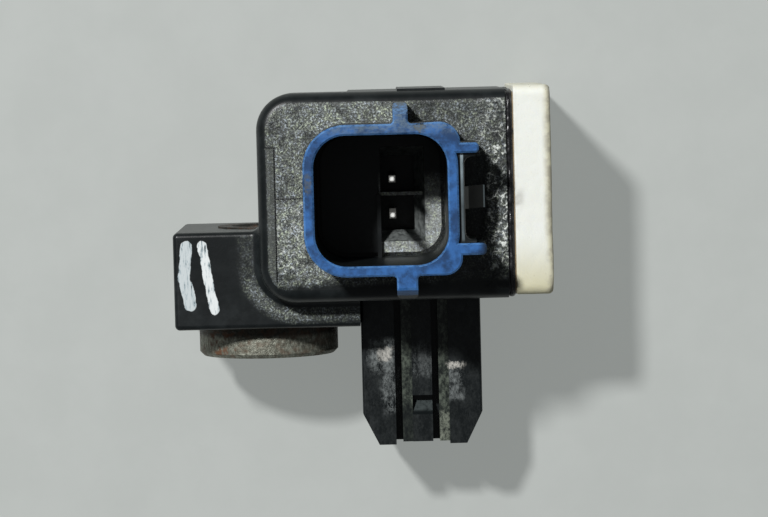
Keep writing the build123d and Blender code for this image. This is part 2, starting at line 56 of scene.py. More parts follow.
# Camera: it looks into the connector, a third of a metre above the part, from slightly above
# the middle of the picture. The part lies on its back, so the view is nearly straight down.
MM = 0.001
camera_data = bpy.data.cameras.new("camera")
camera_data.lens = 155
camera_data.sensor_width = 36
camera_data.clip_start = 0.01
camera = bpy.data.objects.new("camera", camera_data)
bpy.context.scene.collection.objects.link(camera)
camera_place = Vector((12.2, 30.6, 344.0)) * MM
camera_aim = Vector((12.2, 10.4, 14.0)) * MM
camera_roll = math.radians(-1.4)
forward = (camera_aim - camera_place).normalized()
level_right = forward.cross(Vector((0, 1, 0))).normalized()
level_up = level_right.cross(forward)
turned_right = level_right * math.cos(camera_roll) + level_up * math.sin(camera_roll)
turned_up = level_up * math.cos(camera_roll) - level_right * math.sin(camera_roll)
turned = Matrix((turned_right, turned_up, -forward)).transposed().to_4x4()
camera.matrix_world = Matrix.Translation(camera_place) @ turned
bpy.context.scene.camera = camera
bpy.context.scene.view_settings.view_transform = "Standard"


# Housing: one moulding of black glass-filled nylon. The front, the pocket round the pins and the
# ear's root came rough from the tool, the rest is smoother. Their glitter is painted as pale specks
# of colour, and light falling on them and shadow across them are painted too. The shroud's end face
# is inked blue as the colour code of its plug, and the ear has two dabs of white paint marker.
class Link:
    """One output socket in the material being made. Arithmetic on it adds Math nodes."""

    tree = None

    def __init__(self, socket):
        self.socket = socket

    @classmethod
    def add(cls, kind, settings=None, inputs=None, output=0):
        """Add a node of this type: its settings first, then its sockets' values or links."""
        node = cls.tree.nodes.new("ShaderNode" + kind)
        for name, value in (settings or {}).items():
            setattr(node, name, value)
        for name, value in (inputs or {}).items():
            socket = node.inputs[name]
            if isinstance(value, Link):
                cls.tree.links.new(value.socket, socket)
            elif socket.type == "RGBA":
                socket.default_value = (*value, 1.0)
            else:
                socket.default_value = value
        return cls(node.outputs[output]) if node.outputs else None

    def math(self, operation, other=0.0, swapped=False):
        """Add a Math node on this value and another."""
        pair = (other, self) if swapped else (self, other)
        return Link.add("Math", {"operation": operation}, dict(enumerate(pair)))

    def __add__(self, other):
        return self.math("ADD", other)

    def __sub__(self, other):
        return self.math("SUBTRACT", other)

    def __rsub__(self, other):
        return self.math("SUBTRACT", other, swapped=True)

    def __mul__(self, other):
        return self.math("MULTIPLY", other)

    __radd__ = __add__
    __rmul__ = __mul__

    def ramp(self, low, high):
        """Rise smoothly from 0 at low to 1 at high, or fall where low is the larger."""
        if low > high:
            return 1 - self.ramp(high, low)
        sockets = {"Value": self, "From Min": low, "From Max": high}
        return Link.add("MapRange", {"interpolation_type": "SMOOTHSTEP"}, sockets)

    def within(self, low, high, soft):
        """One between low and high, and zero outside, over a soft edge."""
        return self.ramp(low - soft, low) * self.ramp(high + soft, high)

    def either(self, other):
        """The larger of two masks."""
        return self.math("MAXIMUM", other)

    def split(self):
        """The three parts of a vector."""
        node = Link.add("SeparateXYZ", None, {0: self}).socket.node
        return [Link(socket) for socket in node.outputs]

    def stretched(self, x, y, z):
        """A place scaled along each axis, for streaks."""
        return Link.add("VectorMath", {"operation": "MULTIPLY"}, {0: self, 1: (x, y, z)})

    def cloud(self, size, detail=3.0, rough=0.55, seed=0.0):
        """Soft noise at this place, around 0.5, with lumps of this many millimetres."""
        sockets = {"Vector": self, "W": seed, "Scale": 1 / size}
        sockets.update({"Detail": detail, "Roughness": rough})
        return Link.add("TexNoise", {"noise_dimensions": "4D"}, sockets)


def blend(mask, first, second):
    """Mix two colours by a mask. Sockets 6 and 7 and result 2 are the node's colour ones."""
    return Link.add("Mix", {"data_type": "RGBA"}, {0: mask, 6: first, 7: second}, output=2)


def bump(height, depth, below=None):
    """Relief of this height, in millimetres, over another relief."""
    sockets = {"Height": height, "Strength": 1.0, "Distance": depth * MM}
    if below is not None:
        sockets["Normal"] = below
    return Link.add("Bump", None, sockets)


def start_material(name):
    """Make an empty material, and return the place on the part in millimetres."""
    made = bpy.data.materials.new(name)
    made.use_nodes = True
    made.node_tree.nodes.clear()
    Link.tree = made.node_tree
    place = Link.add("TexCoord", output="Object")
    scaled = Link.add("VectorMath", {"operation": "SCALE"}, {0: place, "Scale": 1 / MM})
    return made, scaled


def shade(**sockets):
    """End the material with a Principled shader."""
    named = {name.replace("_", " "): value for name, value in sockets.items()}
    shader = Link.add("BsdfPrincipled", None, named)
    Link.add("OutputMaterial", None, {"Surface": shader})


def dress(material, *names):
    """Give CAD nodes their material."""
    for name in names:
        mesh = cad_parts[name].data
        mesh.materials.clear()
        mesh.materials.append(material)


def radius(across, up):
    """Distance from a middle, from its two parts."""
    return (across * across + up * up).math("SQRT")


def patch(place_x, place_y, across, up):
    """Soft-edged rectangle. Its two spans are each a low end, a high end and a softness."""
    return place_x.within(*across) * place_y.within(*up)


# Places on the moulding in millimetres. A span is a low end, a high end and a softness.
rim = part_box("housing")[1].z / MM
front = 14.0
front_low = 7.8
front_high = 26.5
joint = 23.2
top_key = 24.9
panel_right = 1.5
panel_top = 21.7
panel_low = 8.3
step_line = 16.55
left_strip = (1.7, 4.2, 0.4)
top_strip = (23.6, 26.2, 0.8)
low_strip = (8.2, 9.6, 0.6)
pocket_left = 11.8
pocket_floor = (6.0, 7.5, 0.1)
pocket_slope = (4.4, 6.9, 0.1)
lock_channel = ((19.5, 22.4, 0.6), (12.4, 20.4, 0.6))
lock_left = 20.6
lock_span = (15.4, 17.7, 0.05)
lock_crest = (22.18, 22.28, 0.04)
lip_place = ((19.92, 20.10, 0.10), (12.6, 21.0, 0.4))
lip_depth = (20.9, 21.5, 0.1)
ear_front = 10.0
hood_corner = (3.4, 9.8)
hood_radius = 3.7
peg_left = 9.6
peg_top = 6.2

# Colours of the plastic, its painted glints, and the painted light, shade and highlights in the socket
# and by the lock
coal = (0.0052, 0.0072, 0.0078)
worn_coal = (0.017, 0.021, 0.022)
dust = (0.135, 0.147, 0.134)
painted_glint_green = (0.64, 0.73, 0.53)
painted_glint_blue = (0.57, 0.65, 0.74)
painted_glint_white = (0.84, 0.88, 0.83)
socket_floor_painted_light = (0.260, 0.275, 0.265)
slope_painted_light = (0.170, 0.185, 0.180)
lock_painted_shade = (0.002, 0.003, 0.003)
painted_edge_highlight = (0.28, 0.35, 0.38)

# The surface's place and facing, and noise in several sizes, which the masks below share
housing_black, point = start_material("housing_black")
x, y, z = point.split()
facing_up = Link.add("NewGeometry", output="Normal").split()[2]
facing_out = facing_up.ramp(0.93, 0.985)
broad = point.cloud(4.5, 3.0, 0.55, 1.0)
middling = point.cloud(1.1, 4.0, 0.6, 2.0)
small = point.cloud(0.5, 4.0, 0.65, 3.0)
grain = point.cloud(0.20, 3.0, 0.65, 4.0)
warp = (small - 0.5) * 0.8
wander = (middling - 0.5) * 2.0

# Front of the box: a strip and three lines from the tool's inserts, rough away from the edges
on_front = facing_out * z.within(front - 0.3, front + 0.3, 0.05)
panel = x.ramp(panel_right, panel_right - 0.08) * y.ramp(panel_top + 0.02, panel_top - 0.04) * on_front
cut_line = patch(x, y, (panel_right, 4.3, 0.05), (step_line - 0.03, step_line + 0.08, 0.06))
beside_panel = patch(x, y, (panel_right - 0.09, panel_right + 0.02, 0.06), (panel_low, panel_top, 0.1))
above_panel = patch(x, y, (0.3, panel_right - 0.1, 0.1), (panel_top, panel_top + 0.08, 0.06))
cut_line = cut_line.either(beside_panel).either(above_panel) * on_front
near_joint = (x + wander).ramp(joint - 1.6, joint)
# Painted light: the rough front's grey and glints are strongest at the left strip, the top and the low
# strip, where the lamp's glints pool.
painted_highlight_left = y.ramp(8.6, 10.0) * (1 - 0.5 * y.ramp(step_line - 0.15, step_line + 0.25))
painted_highlight_area = patch(x, y, (6.0, 12.5, 3.0), top_strip)
painted_highlight_area = painted_highlight_area.either(x.within(*left_strip) * painted_highlight_left)
painted_highlight_area = painted_highlight_area.either(patch(x, y, (4.0, 8.0, 1.0), low_strip))
from_side = x.ramp(0.0, 0.4) * (y + middling - x * 0.02).ramp(front_low, front_low + 0.9)
from_side = from_side * (y + warp * 0.7).ramp(front_high, front_high - 0.8)
# Painted shadows: the rough grey and glints are taken away in the lock channel and below the lower
# guide rib, where the shroud's shadow falls.
lock_painted_shadow = patch(x + warp, y + warp, *lock_channel)
rib_painted_shadow = x.ramp(16.5, 18.0) * (y + warp + (x - 21.5) * 1.6).ramp(11.9, 10.9)
rough_front_with_painted_light = on_front * (1 - 0.08 * panel) * from_side * (0.52 + 0.48 * painted_highlight_area)
rough_front_with_painted_light = rough_front_with_painted_light * (1 - 0.85 * lock_painted_shadow) * (1 - 0.75 * rib_painted_shadow)

# Socket, ear, lock and peg
# Painted light: the pocket floor is made lighter grey and rough only at its lower right, where the
# lamp's light falls into the socket.
socket_floor_lit_part = facing_out * z.within(*pocket_floor) * x.ramp(pocket_left - 0.1, pocket_left + 0.1)
socket_floor_lit_part = socket_floor_lit_part * y.ramp(19.0, 17.0)
# Painted light: the pocket's sloped walls are painted light grey, as they look where lit.
socket_slope = patch(x, y, (10.5, 18.8, 0.1), (9.5, 23.6, 0.1)) * z.within(*pocket_slope)
socket_slope = socket_slope * (1 - facing_out)
from_hood = radius((hood_corner[0] - x).either(0.0), (hood_corner[1] - y).either(0.0)) - hood_radius
on_ear = facing_out * z.within(ear_front - 0.3, ear_front + 0.3, 0.05)
# Painted highlight: the ear's rough band by the hood fades upward and to the right, shaped as a
# highlight.
ear_band_highlight = on_ear * (from_hood + 0.5 * middling).within(1.3, 1.9, 1.0)
ear_band_highlight = ear_band_highlight * (0.25 + 0.75 * y.ramp(9.5, 6.5)) * (1 - 0.6 * x.ramp(3.0, 8.0))
rough = rough_front_with_painted_light.either(socket_floor_lit_part).either(ear_band_highlight * 0.6)
# Painted shade: the lock ramp's top is painted near black, as it lies in the shroud's shadow.
lock_ramp = x.ramp(lock_left, lock_left + 0.1) * y.within(*lock_span) * z.ramp(front + 0.3, front + 0.6)
# Painted highlights: a pale blue-grey on the lock ramp's crest and on the channel's rounded lip.
lock_crest_highlight = lock_ramp * x.within(*lock_crest) * 0.5
channel_lip_highlight = patch(x, y, *lip_place) * z.within(*lip_depth)
channel_lip_highlight = channel_lip_highlight * (0.35 + 0.65 * y.ramp(15.0, 20.5)) * (0.6 + 0.4 * middling.ramp(0.3, 0.7))
on_peg = y.ramp(peg_top, peg_top - 0.2) * x.ramp(peg_left, peg_left + 0.1) * facing_out

# Plastic: nearly black, greyer where it is worn or rough, with coloured specks and near-white grains
# painted in as glints
worn = broad.ramp(0.35, 0.7) * middling.ramp(0.3, 0.7) * (1 - 0.7 * on_peg)
mottle = 0.15 + 0.85 * small.ramp(0.34, 0.60) * middling.ramp(0.22, 0.58)
colour = blend(worn, coal, worn_coal)
colour = blend(rough * mottle.either(panel * (0.8 + 0.2 * middling)), colour, dust)
colour = blend(socket_floor_lit_part * (0.3 + 0.7 * small.ramp(0.3, 0.6)), colour, socket_floor_painted_light)
colour = blend(socket_slope * (0.3 + 0.7 * small.ramp(0.35, 0.6)), colour, slope_painted_light)
colour = blend(lock_ramp, colour, lock_painted_shade)
colour = blend(lock_crest_highlight.either(channel_lip_highlight), colour, painted_edge_highlight)
# Painted highlights: pale green and blue specks stand for the glints of the rough grain under the lamp.
painted_glint_colour = blend(point.cloud(0.4, 2.0, 0.5, 5.0).ramp(0.4, 0.6), painted_glint_green, painted_glint_blue)
painted_fleck_glints = grain.ramp(0.49, 0.60) * (middling + small * 0.5).ramp(0.52, 0.90)
painted_fleck_glints = painted_fleck_glints * rough * (1 - 0.55 * panel)
# Painted highlights: near-white grains by the joint and on the left strip stand for glints on the
# crumpled, rough surface.
painted_crumb_glints = (middling * 0.35 + small * 0.5 + grain * 0.15).ramp(0.535, 0.575)
crease_glints = (point.cloud(1.3, 3.0, 0.5, 15.0) - 0.5).math("ABSOLUTE").ramp(0.025, 0.0)
painted_crumb_glints = painted_crumb_glints.either(crease_glints * small.ramp(0.40, 0.55)) * near_joint * on_front
painted_crumb_glints = painted_crumb_glints * y.ramp(7.5, 12.0) * (1 - 0.5 * y.ramp(21.0, 22.0))
painted_crumb_glints = painted_crumb_glints * (1 - lock_painted_shadow) * (1 - rib_painted_shadow)
left_glint_patch = patch(x, y + middling, left_strip, (10.0, 16.2, 0.9)) * on_front
shard_glints = (point.cloud(0.34, 4.0, 0.7, 16.0) * 0.6 + small * 0.4).ramp(0.53, 0.58)
painted_crumb_glints = painted_crumb_glints.either(shard_glints * left_glint_patch * (0.25 + 0.45 * grain.ramp(0.4, 0.6)))
colour = blend(painted_fleck_glints * 0.9, colour, painted_glint_colour)
colour = blend(painted_crumb_glints * 0.9, colour, painted_glint_white)
colour = blend(cut_line, colour, coal)

# Blue ink on the shroud's end: rolled on, so it fades down the sides, and rubbed off at the ribs
ink_deep = (0.009, 0.044, 0.130)
ink_bright = (0.030, 0.135, 0.390)
ink_dusty = (0.150, 0.215, 0.270)
ink_edge_highlight = (0.110, 0.270, 0.560)
rubbed_grey = (0.135, 0.150, 0.140)
on_top_key = y.ramp(top_key, top_key + 0.3)
fade_depth = 0.25 + 0.75 * y.ramp(8.2, 7.6).either(on_top_key * 1.6)
ink = (z + warp * 0.5 - rim + fade_depth).ramp(-0.10, 0.10)
key_wear = (y + warp).ramp(top_key - 0.5, 26.1) * 0.85
rib_wear = (x + warp * 0.6).ramp(21.3, 22.1) + y.ramp(8.0, 6.6)
corner_away = radius((x + warp * 2.2 - 16.0) * 0.9, y + wander - 23.6)
corner_spot = (corner_away * corner_away).ramp(0.45, 0.10)
left_away = radius((x - 4.9) * 1.5, (y + warp - 18.3) * 0.6)
left_spot = (left_away * left_away).ramp(0.7, 0.2)
rubbed = key_wear.either(corner_spot).either(left_spot * 0.7)
scratched = point.stretched(1.0, 1.6, 1.0).cloud(0.45, 6.0, 0.75, 6.0)
nicks = scratched.ramp(0.30, 0.25).either(rubbed * scratched.ramp(0.62, 0.44))
ink = ink * (1 - nicks) * (1 - rib_wear * 0.8)
ink_tone = point.cloud(1.6, 4.0, 0.65, 7.0)
ink_colour = blend(ink_tone.ramp(0.38, 0.64), ink_deep, ink_bright)
ink_colour = blend(y.ramp(22.5, 24.0) * scratched.ramp(0.35, 0.65) * 0.8, ink_colour, ink_dusty)
on_tip = facing_out.either(on_top_key) * z.ramp(rim - 1.9, rim - 1.5)
# Painted highlight: the ring's chamfered edges are painted lighter blue.
ring_edge_highlight = facing_up.within(0.45, 0.85, 0.08) * scratched.ramp(0.35, 0.60)
ink_colour = blend(ring_edge_highlight * 0.6, ink_colour, ink_edge_highlight)
rubbed_plastic = blend(rubbed * on_tip * 0.9, colour, rubbed_grey)
colour = blend(ink, rubbed_plastic, ink_colour)

# Peg: scuffed where it goes through the panel, with dried dirt on its two narrow strips
scuff_grey = (0.200, 0.220, 0.218)
strip_dirt = (0.115, 0.135, 0.108)
strip_light = (0.28, 0.30, 0.24)
notch_painted_light = (0.058, 0.070, 0.070)
chalk = (0.55, 0.53, 0.48)
strip_depth = (3.4, 3.76, 0.04)
notch_place = ((13.9, 16.8, 0.15), (-6.2, -5.2, 0.25))
notch_depth = (2.2, 3.3, 0.3)
strip = z.within(*strip_depth) * on_peg
blotches = point.stretched(1.2, 0.8, 1.0).cloud(1.2, 8.0, 0.78, 8.0)
powder = point.stretched(1.3, 0.8, 1.0).cloud(0.45, 6.0, 0.8, 10.0)
hairs = (point.stretched(1.6, 0.7, 1.0).cloud(0.55, 6.0, 0.7, 9.0) - 0.5).math("ABSOLUTE")
rub_x = x + wander
rub_y = y + (small - 0.5) * 1.6
scuffed = patch(rub_x, rub_y, (10.9, 12.9, 0.8), (-1.5, 1.0, 0.9))
scuffed = scuffed.either(patch(rub_x, rub_y, (12.2, 13.2, 0.9), (-5.8, -1.5, 0.8)))
scuffed = scuffed.either(patch(rub_x, rub_y, (18.5, 19.6, 0.7), (-4.6, -1.5, 0.8)))
scuffed = scuffed.either(patch(rub_x, rub_y, (14.0, 16.6, 0.6), (-2.0, 0.5, 0.9)) * 0.5)
marks = blotches.ramp(0.42, 0.60).either(hairs.ramp(0.03, 0.0)) * powder.ramp(0.30, 0.62)
scuffs = on_peg * (scuffed * 0.85 + 0.10) * marks * (1 - strip)
chalky = patch(rub_x, rub_y, (11.5, 12.6, 0.5), (-0.5, 0.3, 0.5)) * 0.8
chalky = chalky.either(patch(rub_x, rub_y, (18.7, 20.1, 0.3), (-1.6, -1.2, 0.25)))
chalk_marks = on_peg * chalky * blotches.ramp(0.40, 0.56) * powder.ramp(0.38, 0.56)
strip_tone = (0.15 + 0.85 * blotches.ramp(0.42, 0.58)) * (0.20 + 0.80 * powder.ramp(0.40, 0.60))
strip_tone = strip_tone * (1 - 0.75 * x.ramp(15.5, 15.0) * rub_y.ramp(-4.6, -6.0))
strip_end = strip * x.ramp(17.0, 17.3) * rub_y.within(-9.0, -6.5, 0.6) * blotches.ramp(0.4, 0.6)
# Painted light: the notch's ramp, which faces the lamp, is painted greyer than the peg.
notch_ramp = patch(x, y, *notch_place) * z.within(*notch_depth)
colour = blend(scuffs, colour, scuff_grey)
colour = blend(strip * strip_tone, colour, strip_dirt)
colour = blend(strip_end * 0.7 * powder.ramp(0.36, 0.6), colour, strip_light)
colour = blend(notch_ramp * powder.ramp(0.25, 0.6), colour, notch_painted_light)
colour = blend(chalk_marks, colour, chalk)


def marker_dab(start, end, half_width):
    """Mask of one dab of the paint marker on the ear's front, with round ends."""
    length = math.dist(start, end)
    run_x = (end[0] - start[0]) / length
    run_y = (end[1] - start[1]) / length
    from_x = x + wander * 0.25 - start[0]
    from_y = y + wander * 0.25 - start[1]
    along = (from_x * run_x + from_y * run_y).either(0.0).math("MINIMUM", length)
    return radius(from_x - along * run_x, from_y - along * run_y).ramp(half_width, half_width - 0.08)


# Paint on the ear: brushed on in two dabs, the left one thinner and bent
thin_white = (0.30, 0.38, 0.41)
thick_white = (0.80, 0.84, 0.84)
dabs = marker_dab((-7.8, 11.8), (-8.1, 8.6), 0.62)
dabs = dabs.either(marker_dab((-8.1, 8.8), (-7.5, 5.9), 0.66))
dabs = dabs.either(marker_dab((-6.2, 11.9), (-5.1, 5.3), 0.50))
bristles = point.stretched(3.0, 0.5, 1.0).cloud(0.55, 5.0, 0.65, 13.0)
paint = dabs * on_ear * bristles.ramp(0.33, 0.38)
paint_white = blend(bristles.ramp(0.36, 0.50), thin_white, thick_white)
paint_white = blend(x.ramp(-6.8, -7.2) * 0.4, paint_white, thin_white)
colour = blend(paint, colour, paint_white)

# Relief and gloss
fine = bump(point.cloud(0.10, 2.0, 0.5, 14.0), 0.006)
waves = bump(middling, 0.02, fine)
glitter = bump(grain * rough, 0.10, waves)
crumple = bump(small * on_front * near_joint, 0.25, glitter)
paint_relief = bump(paint * bristles, 0.04, crumple)
polish = 0.30 + 0.10 * broad - 0.03 * rough + 0.5 * lock_ramp
polish = polish + 0.16 * ink.either(paint).either(scuffs) - 0.06 * on_peg * (1 - scuffs)
shade(Base_Color=colour, Roughness=polish, Specular_IOR_Level=0.33, Normal=paint_relief)
dress(housing_black, "housing")


# Bush: turned from steel, pressed into the ear with its flange against the moulding. The
# plating is dull and pitted, and rust has begun on the flange's edge and in the bore.
steel_grey = (0.150, 0.150, 0.118)
steel_light = (0.34, 0.35, 0.29)
steel_dark = (0.055, 0.050, 0.045)
painted_shade_black = (0.012, 0.012, 0.010)
sleeve_painted_shade = (0.018, 0.017, 0.015)
rust_brown = (0.120, 0.048, 0.018)
bush_steel, point = start_material("bush_steel")
x, y, z = point.split()
pits = point.cloud(0.28, 4.0, 0.7, 1.0)
turned_lines = point.stretched(1.0, 0.7, 1.0).cloud(0.30, 4.0, 0.6, 2.0)
spots = point.cloud(1.0, 5.0, 0.65, 4.0)
near_rust = x.within(-5.6, -3.4, 0.7) * y.within(0.5, 2.4, 0.6)
from_axis = radius(x, z)
in_bore = from_axis.ramp(3.8, 3.3)
rust = (near_rust * 0.9).either(in_bore * 0.8).either(0.35) * spots.ramp(0.46, 0.60)
colour = blend(turned_lines.ramp(0.40, 0.68), steel_grey, steel_light)
colour = blend(pits.ramp(0.46, 0.34) * 0.5, colour, steel_dark)
# Painted shade: the flange is darkened just under the ear, where the ear's shadow falls.
shade_under_ear = y.within(2.5, 3.32, 0.6) * from_axis.ramp(6.9, 7.1)
# Painted shade: the sleeve's upper end is painted near black.
upper_end = y.ramp(12.8, 13.2)
colour = blend(shade_under_ear * 0.85, colour, painted_shade_black)
colour = blend(upper_end * 0.92, colour, sleeve_painted_shade)
colour = blend(rust, colour, rust_brown)
shade(
    Base_Color=colour,
    Metallic=0.6 - 0.55 * rust,
    Roughness=0.46 + 0.3 * rust + 0.1 * pits,
    Normal=bump(pits, 0.10),
)
dress(bush_steel, "mounting_bush")


# Terminals: tinned copper wire, square, moulded into the housing and bent back to the board,
# where a cone of solder holds each tail. The tin is painted dark, as painted shade, except a painted
# highlight at the flat middle of each tip.
pin_x = 13.2
pins_middle = 16.55
pin_pitch = 3.6
tin = (0.92, 0.92, 0.89)
tin_dull = (0.78, 0.78, 0.75)
tin_painted_shade = (0.16, 0.16, 0.15)
terminal_tin, point = start_material("terminal_tin")
x, y, z = point.split()
bloom = point.cloud(0.35, 3.0)
from_pin = radius(x - pin_x, (y - pins_middle).math("ABSOLUTE") - pin_pitch / 2)
painted_tip_highlight = from_pin.ramp(0.30, 0.20)
drawn = point.stretched(4.0, 4.0, 0.4).cloud(0.4, 3.0, 0.6, 2.0)
shade(
    Base_Color=blend(painted_tip_highlight, tin_painted_shade, blend(bloom.ramp(0.35, 0.7), tin, tin_dull)),
    Metallic=0.3,
    Roughness=0.40 + 0.2 * bloom,
    Normal=bump(drawn, 0.01),
)
dress(terminal_tin, "terminal_1", "terminal_2")
solder_bright = (0.60, 0.60, 0.58)
solder_frosted = (0.44, 0.44, 0.43)
solder_grey, point = start_material("solder_grey")
frost = point.cloud(0.25, 4.0, 0.6)
shade(
    Base_Color=blend(frost.ramp(0.4, 0.65), solder_bright, solder_frosted),
    Metallic=1.0,
    Roughness=0.22 + 0.3 * frost,
    Normal=bump(frost, 0.03),
)
dress(solder_grey, "solder_joint_1", "solder_joint_2")


# Circuit board: green lacquered glass laminate in its seat, with the chip parts soldered to it.
# The cover closes it all in.
def lumpy_material(name, light, dark, lump, roughness, metallic=0.0, relief=0.02):
    """A surface of two near colours in soft lumps, with a little relief."""
    made, place = start_material(name)
    lumps = place.cloud(lump, 4.0, 0.6)
    shade(
        Base_Color=blend(lumps.ramp(0.35, 0.65), light, dark),
        Metallic=metallic,
        Roughness=roughness + 0.12 * lumps,
        Normal=bump(lumps, relief),
    )
    return made


lacquer_dark = (0.020, 0.120, 0.055)
lacquer_light = (0.035, 0.180, 0.085)
weave_turns = 9.0
board_green, point = start_material("board_green")
x, y, z = point.split()
weave = (y * weave_turns).math("SINE") * (z * weave_turns).math("SINE")
mottle = point.cloud(1.5, 3.0)
shade(
    Base_Color=blend(mottle.ramp(0.3, 0.7), lacquer_dark, lacquer_light),
    Roughness=0.30 + 0.1 * mottle,
    Normal=bump(weave, 0.008),
)
dress(board_green, "circuit_board")
cell_white = lumpy_material("cell_white", (0.74, 0.72, 0.66), (0.66, 0.64, 0.58), 0.5, 0.5)
dress(cell_white, "pressure_cell")
lid_plate = lumpy_material("lid_plate", (0.56, 0.55, 0.50), (0.45, 0.44, 0.41), 0.6, 0.2, 1.0)
dress(lid_plate, "cell_lid", "chip_leads")
chip_black = lumpy_material("chip_black", (0.020, 0.020, 0.021), (0.036, 0.036, 0.038), 0.2, 0.5)
dress(chip_black, "interface_chip", "diode")
capacitor_tan = lumpy_material("capacitor_tan", (0.42, 0.29, 0.17), (0.50, 0.36, 0.22), 0.4, 0.35)
dress(capacitor_tan, "capacitor_1", "capacitor_2", "capacitor_3")
resistor_glaze = lumpy_material("resistor_glaze", (0.03, 0.03, 0.035), (0.05, 0.05, 0.06), 0.3, 0.25)
dress(resistor_glaze, "resistor_1", "resistor_2")


# Cover: a flat black moulding whose tongue sits in the housing's groove. Only its edge shows,
# between the box and the pad. Over it lies the tan adhesive film that carries the pad.
cover_black = lumpy_material("cover_black", (0.012, 0.013, 0.014), (0.028, 0.029, 0.030), 0.8, 0.35)
dress(cover_black, "end_cover")
film_tan = lumpy_material("film_tan", (0.30, 0.22, 0.12), (0.20, 0.15, 0.085), 0.7, 0.45)
dress(film_tan, "pad_adhesive")


# Sealant: black, cured and glossy. It fills the groove round the cover's tongue, and an uneven
# bead of it was squeezed out all round when the cover was pressed home.
def edge_distance(angle, half_y, half_z, corner):
    """Distance from the middle of a rounded rectangle to its edge in this direction."""
    step_y, step_z = abs(math.cos(angle)), abs(math.sin(angle))
    near, far = 0.0, half_y + half_z
    halvings = 40
    for _ in range(halvings):
        middle = (near + far) / 2
        over_y = max(step_y * middle - (half_y - corner), 0.0)
        over_z = max(step_z * middle - (half_z - corner), 0.0)
        if math.hypot(over_y, over_z) < corner:
            near = middle
        else:
            far = middle
    return near


def ring_of_rows(name, rows):
    """Join closed rows of points into one closed ring of faces."""
    count = len(rows[0])
    faces = []
    for row in range(len(rows)):
        after = (row + 1) % len(rows)
        for place in range(count):
            beside = (place + 1) % count
            faces.append((
                row * count + place,
                row * count + beside,
                after * count + beside,
                after * count + place,
            ))
    mesh = bpy.data.meshes.new(name)
    mesh.from_pydata([place for row in rows for place in row], [], faces)
    mesh.polygons.foreach_set("use_smooth", [True] * len(faces))
    mesh.update()
    made = bpy.data.objects.new(name, mesh)
    bpy.context.scene.collection.objects.link(made)
    return made


cover_low, cover_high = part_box("end_cover")
film_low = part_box("pad_adhesive")[0]
seal_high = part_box("cover_seal")[1]
cover_middle = (cover_low + cover_high) / 2
cover_half = (cover_high - cover_low) / 2
cover_corner = 1.2 * MM
bead_x = (seal_high.x + film_low.x) / 2
bead_thickness = 0.19 * MM
bead_spread = 1.3
bead_drift = 0.10 * MM
thinnest_share = 0.35
long_lump = 2.3 * MM
lump_size = 1.3 * MM
small_lump = 0.45 * MM
bead_steps = 480
bead_sides = 12
rows = []
for step in range(bead_steps):
    angle = step / bead_steps * math.tau
    outward = Vector((0, math.cos(angle), math.sin(angle)))
    distance = edge_distance(angle, cover_half.y, cover_half.z, cover_corner)
    centre = Vector((bead_x, cover_middle.y, cover_middle.z)) + outward * distance
    lump = noise.noise(centre / lump_size) + 0.6 * noise.noise(centre / small_lump)
    thick = bead_thickness * max(thinnest_share, 1.0 + 0.7 * lump)
    drift = bead_drift * noise.noise(centre / long_lump + Vector((5, 0, 0)))
    row = []
    for side in range(bead_sides):
        turn = side / bead_sides * math.tau
        along = Vector((drift + bead_spread * thick * math.cos(turn), 0, 0))
        place = centre + outward * thick * math.sin(turn) + along
        place.z = max(place.z, cad_box[0].z)
        row.append(place)
    rows.append(row)
sealant_bead = ring_of_rows("sealant_bead", rows)
cured_black = (0.008, 0.008, 0.009)
cured_grey = (0.020, 0.020, 0.022)
sealant_black, point = start_material("sealant_black")
ripple = point.cloud(0.45, 4.0, 0.6)
shade(
    Base_Color=blend(ripple.ramp(0.4, 0.7), cured_black, cured_grey),
    Roughness=0.14 + 0.25 * ripple,
    Normal=bump(ripple, 0.05),
)
sealant_bead.data.materials.append(sealant_black)
dress(sealant_black, "cover_seal")
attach(sealant_bead, "root")


# Seal pad: die-cut from a thick sheet of white closed-cell foam rubber and stuck to the cover.
# Its cut sides are nearly flat, its outer edges soft and nicked, yellowed and soiled with use.
pad_low, pad_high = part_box("seal_pad")
pad_middle = (pad_low + pad_high) / 2
pad_half = (pad_high - pad_low) / 2
pad_depth = pad_high.x - pad_low.x
pad_corner = 1.0 * MM
hole_radius = 4.0 * MM
inner_round = 0.18 * MM
outer_round = 0.55 * MM
skin = 0.05 * MM
skin_wave = 3.0 * MM
skin_ripple = 0.8 * MM
pad_steps = 400
side_rows = 14
face_rows = 22
arc_rows = 6


def arc(start_depth, sign_depth, rounding):
    """Rounded edge as pairs of depth and inset, from the face to the side."""
    for step in range(arc_rows + 1):
        turn = step / arc_rows * math.pi / 2
        depth = start_depth + sign_depth * rounding * (1 - math.cos(turn))
        yield depth, rounding * (1 - math.sin(turn))


